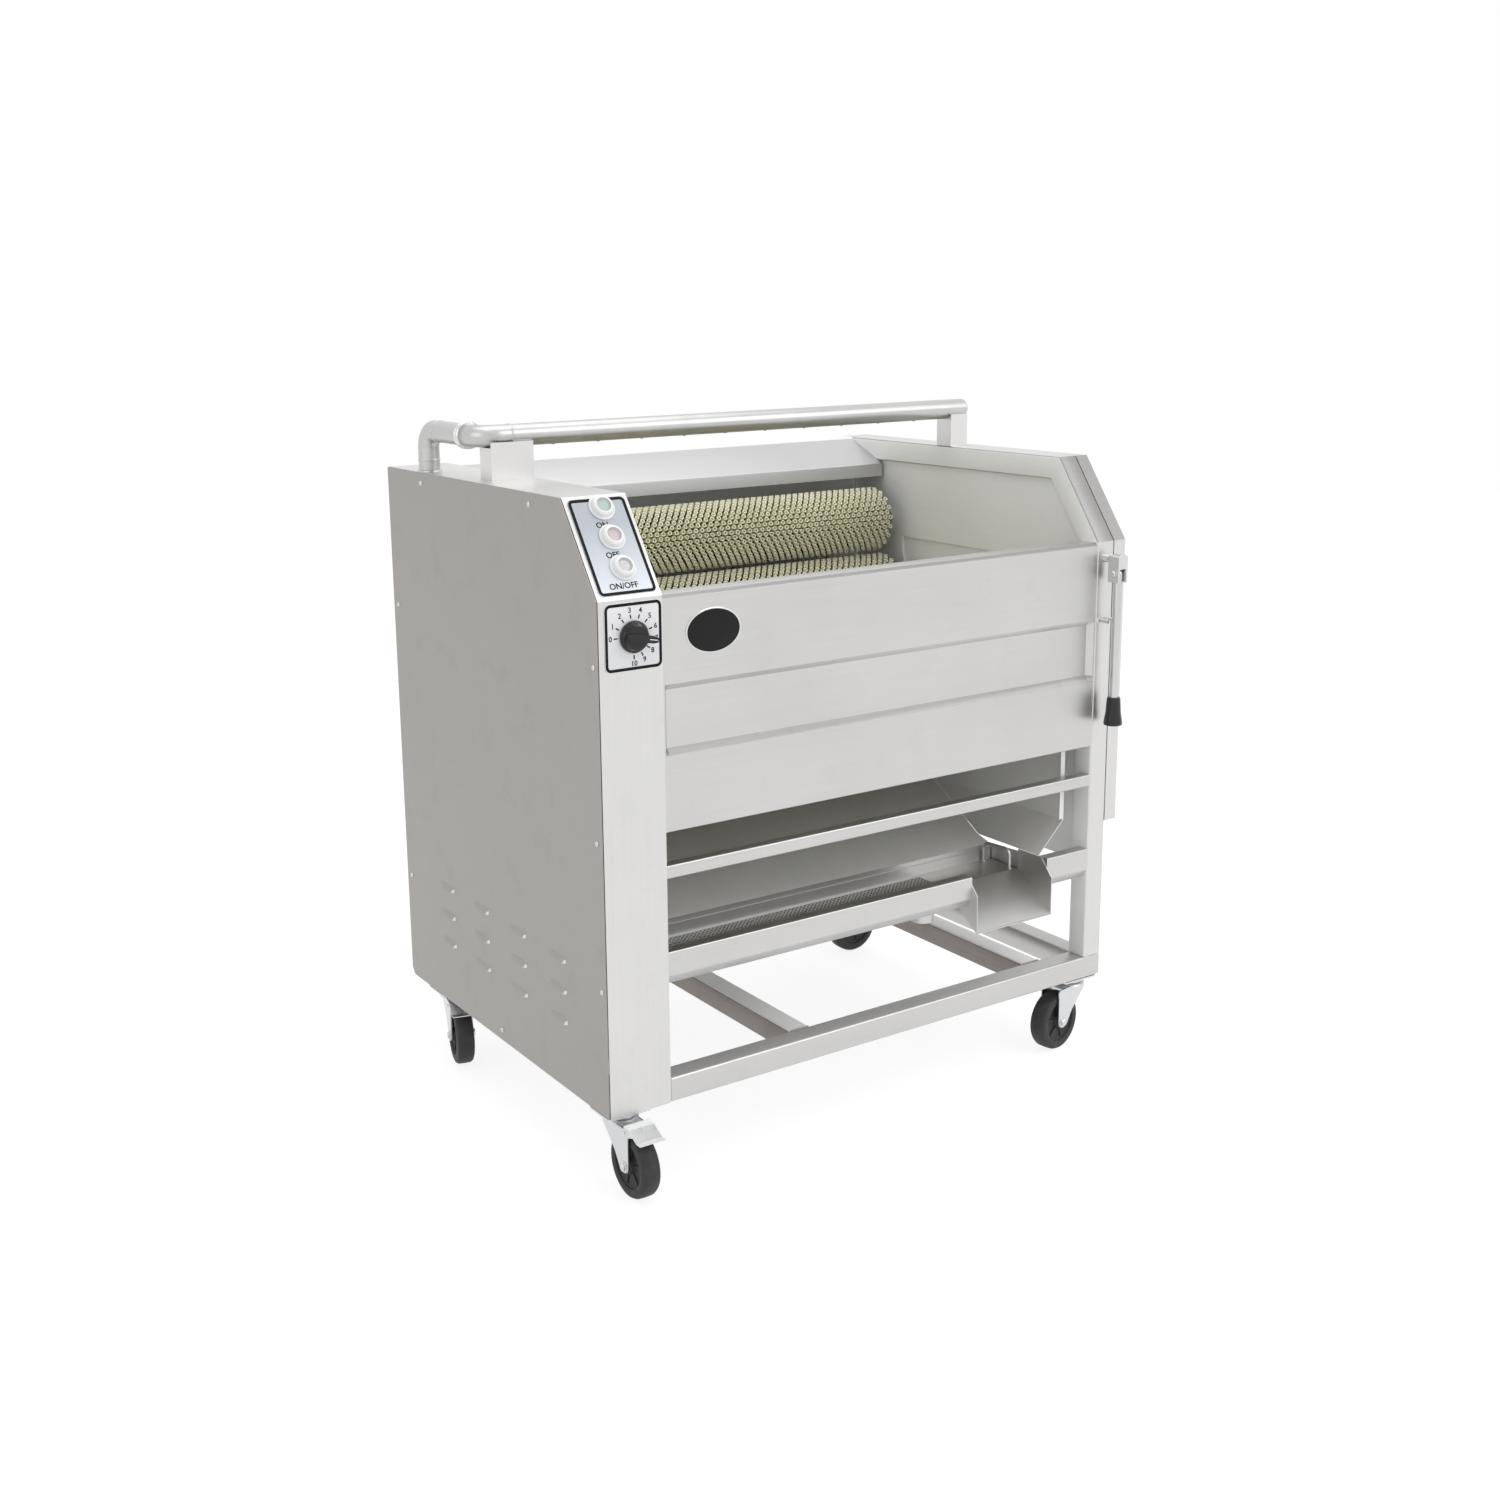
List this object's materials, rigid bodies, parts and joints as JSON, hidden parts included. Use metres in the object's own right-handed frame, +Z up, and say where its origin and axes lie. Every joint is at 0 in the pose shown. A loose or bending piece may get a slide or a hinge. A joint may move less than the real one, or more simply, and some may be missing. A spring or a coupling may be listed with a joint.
{
  "type": "electric potato peeler",
  "caption": "Floor-standing brush-roller potato peeler on castors with control face, spray pipe, discharge gate and waste gutter.",
  "frame": {"origin": "the middle of the whole machine's box, on the floor", "axes": "+Z up, +X along the rollers from the drive housing to the discharge end, +Y from the front to the back"},
  "size_m": [1.0084, 0.747, 1.0945],
  "materials": {
    "black_plastic": "gloss",
    "black_plate": "satin",
    "bright_steel": "polished",
    "bristle": "nylon bristle tufts",
    "cast": "painted casting",
    "chain_steel": "oiled",
    "clear_boot": "milky silicone",
    "green_cap": "gloss",
    "red_cap": "gloss",
    "rubber_wheel": "matt moulded",
    "silver_plate": "satin printed plate",
    "stainless": "fine vertical grain",
    "stainless_dark": "fine grain, welded and ground",
    "white_cap": "gloss",
    "zinc": "bright zinc plate"
  },
  "bodies": {
    "machine": {"badge": "black_plastic", "bearing_cover": "stainless", "bearing_wall": "stainless", "button_boots": "clear_boot", "castor_plates": "zinc", "control_plate": "silver_plate", "cross_members": "stainless_dark", "dial_plate": "silver_plate", "end_panel": "stainless", "front_panel": "stainless", "gear_motor": "cast", "hopper_back_plate": "stainless", "hopper_side_plate": "stainless", "housing_shell": "stainless", "lever_prongs": "bright_steel", "long_base_rails": "stainless", "mid_rail": "stainless", "panel_screws": "bright_steel", "pipe_brackets": "stainless", "pipe_fittings": "stainless", "push_switches": "black_plate", "rear_cover": "stainless", "rear_panel": "stainless", "rear_top_rail": "stainless", "right_end_frame": "stainless", "roller_bearings": "chain_steel", "roller_chains": "chain_steel", "side_base_rails": "stainless", "side_panel": "stainless", "speed_controls": "black_plate", "spout": "stainless", "spray_manifold": "stainless", "supply_pipe": "stainless", "waste_gutter": "stainless"},
    "roller_1": {"brush_roller_1": "bristle"},
    "roller_2": {"brush_roller_2": "bristle"},
    "roller_3": {"brush_roller_3": "bristle"},
    "roller_4": {"brush_roller_4": "bristle"},
    "roller_5": {"brush_roller_5": "bristle"},
    "roller_6": {"brush_roller_6": "bristle"},
    "drive": {"drive_sprocket": "chain_steel"},
    "white_button": {"white_button": "white_cap"},
    "red_button": {"red_button": "red_cap"},
    "green_button": {"green_button": "green_cap"},
    "knob": {"speed_knob": "black_plastic"},
    "gate": {"gate_flap": "stainless", "gate_shaft": "stainless"},
    "lever": {"lever_rod": "stainless", "lever_grip": "black_plate"},
    "sieve_tray": {"sieve": "stainless"},
    "front_left_swivel": {"front_left_fork": "zinc"},
    "front_left_roll": {"front_left_wheel": "rubber_wheel"},
    "front_left_brake": {"front_left_pedal": "zinc"},
    "front_right_swivel": {"front_right_fork": "zinc"},
    "front_right_roll": {"front_right_wheel": "rubber_wheel"},
    "rear_left_swivel": {"rear_left_fork": "zinc"},
    "rear_left_roll": {"rear_left_wheel": "rubber_wheel"},
    "rear_left_brake": {"rear_left_pedal": "zinc"},
    "rear_right_swivel": {"rear_right_fork": "zinc"},
    "rear_right_roll": {"rear_right_wheel": "rubber_wheel"}
  },
  "joints": [
    {"name": "roller_1_spin", "type": "hinge", "parent": "machine", "child": "roller_1", "pos_m": [-0.39278, 0.23443, 0.86377], "axis": [1, 0, 0], "continuous": true},
    {"name": "roller_2_spin", "type": "hinge", "parent": "machine", "child": "roller_2", "pos_m": [-0.39278, 0.20479, 0.74337], "axis": [1, 0, 0], "continuous": true},
    {"name": "roller_3_spin", "type": "hinge", "parent": "machine", "child": "roller_3", "pos_m": [-0.39278, 0.11821, 0.65461], "axis": [1, 0, 0], "continuous": true},
    {"name": "roller_4_spin", "type": "hinge", "parent": "machine", "child": "roller_4", "pos_m": [-0.39278, -0.00142, 0.622], "axis": [1, 0, 0], "continuous": true},
    {"name": "roller_5_spin", "type": "hinge", "parent": "machine", "child": "roller_5", "pos_m": [-0.39278, -0.12107, 0.65453], "axis": [1, 0, 0], "continuous": true},
    {"name": "roller_6_spin", "type": "hinge", "parent": "machine", "child": "roller_6", "pos_m": [-0.39278, -0.20771, 0.74323], "axis": [1, 0, 0], "continuous": true},
    {"name": "drive_spin", "type": "hinge", "parent": "machine", "child": "drive", "pos_m": [-0.44278, -0.0015, 0.43], "axis": [1, 0, 0], "continuous": true},
    {"name": "white_button_press", "type": "slide", "parent": "machine", "child": "white_button", "axis": [0, 0.8156, -0.5787], "range_m": [0, 0.003], "stiffness_N_per_m": 500},
    {"name": "red_button_press", "type": "slide", "parent": "machine", "child": "red_button", "axis": [0, 0.8156, -0.5787], "range_m": [0, 0.003], "stiffness_N_per_m": 500},
    {"name": "green_button_press", "type": "slide", "parent": "machine", "child": "green_button", "axis": [0, 0.8156, -0.5787], "range_m": [0, 0.003], "stiffness_N_per_m": 500},
    {"name": "speed_turn", "type": "hinge", "parent": "machine", "child": "knob", "pos_m": [-0.43978, -0.3145, 0.8226], "axis": [0, 1, 0], "range_deg": [-190.5, 79.5]},
    {"name": "gate_swing", "type": "hinge", "parent": "machine", "child": "gate", "pos_m": [0.45982, -0.0145, 0.848], "axis": [0, -1, 0], "range_deg": [0, 85]},
    {"name": "lever_fold", "type": "hinge", "parent": "gate", "child": "lever", "pos_m": [0.45982, -0.3435, 0.826], "axis": [-1, 0, 0], "range_deg": [0, 95]},
    {"name": "sieve_lift", "type": "slide", "parent": "machine", "child": "sieve_tray", "axis": [0, 0, 1], "range_m": [0, 0.1]},
    {"name": "front_left_swivel", "type": "hinge", "parent": "machine", "child": "front_left_swivel", "pos_m": [-0.46078, -0.2835, 0.05], "axis": [0, 0, 1], "continuous": true},
    {"name": "front_left_roll", "type": "hinge", "parent": "front_left_swivel", "child": "front_left_roll", "pos_m": [-0.46078, -0.3235, 0.05], "axis": [1, 0, 0], "continuous": true},
    {"name": "front_left_brake", "type": "hinge", "parent": "front_left_swivel", "child": "front_left_brake", "pos_m": [-0.46078, -0.3295, 0.106], "axis": [1, 0, 0], "range_deg": [0, 12]},
    {"name": "front_right_swivel", "type": "hinge", "parent": "machine", "child": "front_right_swivel", "pos_m": [0.43722, -0.2835, 0.05], "axis": [0, 0, 1], "continuous": true},
    {"name": "front_right_roll", "type": "hinge", "parent": "front_right_swivel", "child": "front_right_roll", "pos_m": [0.39783, -0.29045, 0.05], "axis": [0.1736, -0.9848, 0], "continuous": true},
    {"name": "rear_left_swivel", "type": "hinge", "parent": "machine", "child": "rear_left_swivel", "pos_m": [-0.46078, 0.2775, 0.05], "axis": [0, 0, 1], "continuous": true},
    {"name": "rear_left_roll", "type": "hinge", "parent": "rear_left_swivel", "child": "rear_left_roll", "pos_m": [-0.47093, 0.23881, 0.05], "axis": [0.9673, -0.2538, 0], "continuous": true},
    {"name": "rear_left_brake", "type": "hinge", "parent": "rear_left_swivel", "child": "rear_left_brake", "pos_m": [-0.47245, 0.23301, 0.106], "axis": [0.9673, -0.2538, 0], "range_deg": [0, 12]},
    {"name": "rear_right_swivel", "type": "hinge", "parent": "machine", "child": "rear_right_swivel", "pos_m": [0.43722, 0.2775, 0.05], "axis": [0, 0, 1], "continuous": true},
    {"name": "rear_right_roll", "type": "hinge", "parent": "rear_right_swivel", "child": "rear_right_roll", "pos_m": [0.39722, 0.2775, 0.05], "axis": [0, -1, 0], "continuous": true}
  ],
  "couplings": [
    {"joint": "roller_1_spin", "follows": "roller_4_spin", "ratio": 1},
    {"joint": "roller_2_spin", "follows": "roller_4_spin", "ratio": 1},
    {"joint": "roller_3_spin", "follows": "roller_4_spin", "ratio": 1},
    {"joint": "roller_5_spin", "follows": "roller_4_spin", "ratio": 1},
    {"joint": "roller_6_spin", "follows": "roller_4_spin", "ratio": 1},
    {"joint": "drive_spin", "follows": "roller_4_spin", "ratio": 1}
  ]
}
